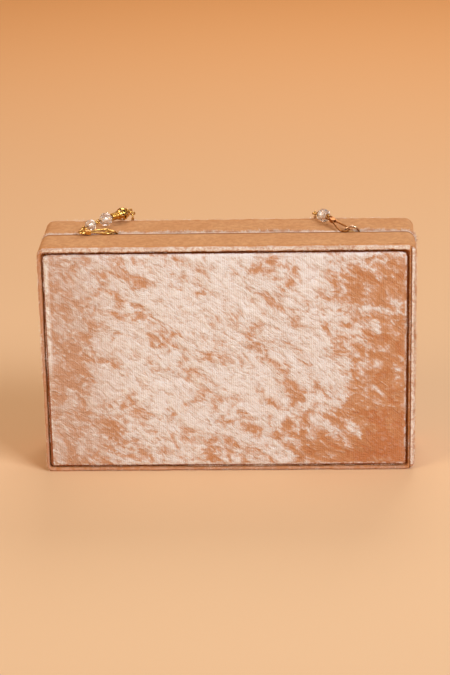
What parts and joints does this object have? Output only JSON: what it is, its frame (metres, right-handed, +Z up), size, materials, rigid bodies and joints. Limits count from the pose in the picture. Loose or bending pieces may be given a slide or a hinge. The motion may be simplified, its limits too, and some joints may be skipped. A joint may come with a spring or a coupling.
{
  "type": "clutch purse",
  "caption": "Hard rectangular box clutch in two velvet-covered halves with padded faces, hinged along the bottom, with a beaded handle on clasps.",
  "frame": {"origin": "under the middle of the case, on the surface it stands on, in the plane of the seam", "axes": "+X along the case to the viewer's right, +Y to the back half, where the handle hangs, +Z up"},
  "size_m": [0.204, 0.0598, 0.1378],
  "materials": {
    "velvet": "crushed velvet pile, tan with pale lustre",
    "panel_velvet": "crushed velvet pile, pale champagne mottled with copper",
    "board": "dense grey-brown binder's board",
    "card": "thin stiff card",
    "foam": "thin wadding",
    "lining": "satin lining",
    "magnet": "nickel-plated magnet",
    "hinge_brass": "polished brass",
    "gold_wire": "gold-plated wire",
    "gold_bead": "gold-plated, slightly worn",
    "crystal": "clear faceted crystal"
  },
  "bodies": {
    "back_half": {"back_face_board": "board", "back_hinge_rivets": "hinge_brass", "back_lining": "lining", "back_magnets": "magnet", "back_panel_card": "card", "back_panel_foam": "foam", "back_panel_velvet": "panel_velvet", "back_rim_piping": "velvet", "back_side_velvet": "velvet", "back_wall_frame": "board", "left_clasp_hook": "gold_wire", "left_clasp_pin": "gold_wire", "left_coiled_collar": "gold_bead", "left_crystals": "crystal", "left_edge_link": "gold_wire", "left_filigree_bead": "gold_bead", "left_hinge_back_leaf": "hinge_brass", "left_hinge_pin": "hinge_brass", "left_jump_ring": "gold_wire", "left_long_pin": "gold_wire", "left_ring": "gold_wire", "left_ring_tab": "hinge_brass", "left_small_pin": "gold_wire", "right_clasp_hook": "gold_wire", "right_clasp_pin": "gold_wire", "right_crystal": "crystal", "right_hinge_back_leaf": "hinge_brass", "right_hinge_pin": "hinge_brass", "right_pin": "gold_wire", "right_ring": "gold_wire", "right_ring_tab": "hinge_brass", "right_spool": "gold_bead", "ring_tab_rivets": "hinge_brass"},
    "front_half": {"front_face_board": "board", "front_hinge_rivets": "hinge_brass", "front_lining": "lining", "front_magnets": "magnet", "front_panel_card": "card", "front_panel_foam": "foam", "front_panel_velvet": "panel_velvet", "front_rim_piping": "velvet", "front_side_velvet": "velvet", "front_wall_frame": "board", "left_hinge_front_leaf": "hinge_brass", "right_hinge_front_leaf": "hinge_brass"},
    "handle_loop": {"handle_crystals": "crystal", "handle_discs": "gold_bead", "handle_end_eyes": "gold_wire", "handle_gold_beads": "gold_bead", "handle_wire": "gold_wire"},
    "left_gate": {"left_clasp_gate": "gold_wire"},
    "right_gate": {"right_clasp_gate": "gold_wire"}
  },
  "joints": [
    {"name": "front_hinge", "type": "hinge", "parent": "back_half", "child": "front_half", "pos_m": [0, 0, 0.00215], "axis": [1, 0, 0], "range_deg": [0, 60]},
    {"name": "handle_swing", "type": "hinge", "parent": "back_half", "child": "handle_loop", "pos_m": [0, 0.0303, 0.1316], "axis": [1, 0, 0], "range_deg": [0, 165]},
    {"name": "left_gate_hinge", "type": "hinge", "parent": "back_half", "child": "left_gate", "pos_m": [-0.07562, -0.0018, 0.13196], "axis": [-0.112, 0.0827, -0.9903], "range_deg": [0, 14], "stiffness_Nm_per_rad": 0.0005, "springref_deg": -17.19},
    {"name": "right_gate_hinge", "type": "hinge", "parent": "back_half", "child": "right_gate", "pos_m": [0.05853, 0.00883, 0.13355], "axis": [-0.0909, 0.2089, -0.9737], "range_deg": [0, 14], "stiffness_Nm_per_rad": 0.0005, "springref_deg": -17.19}
  ]
}
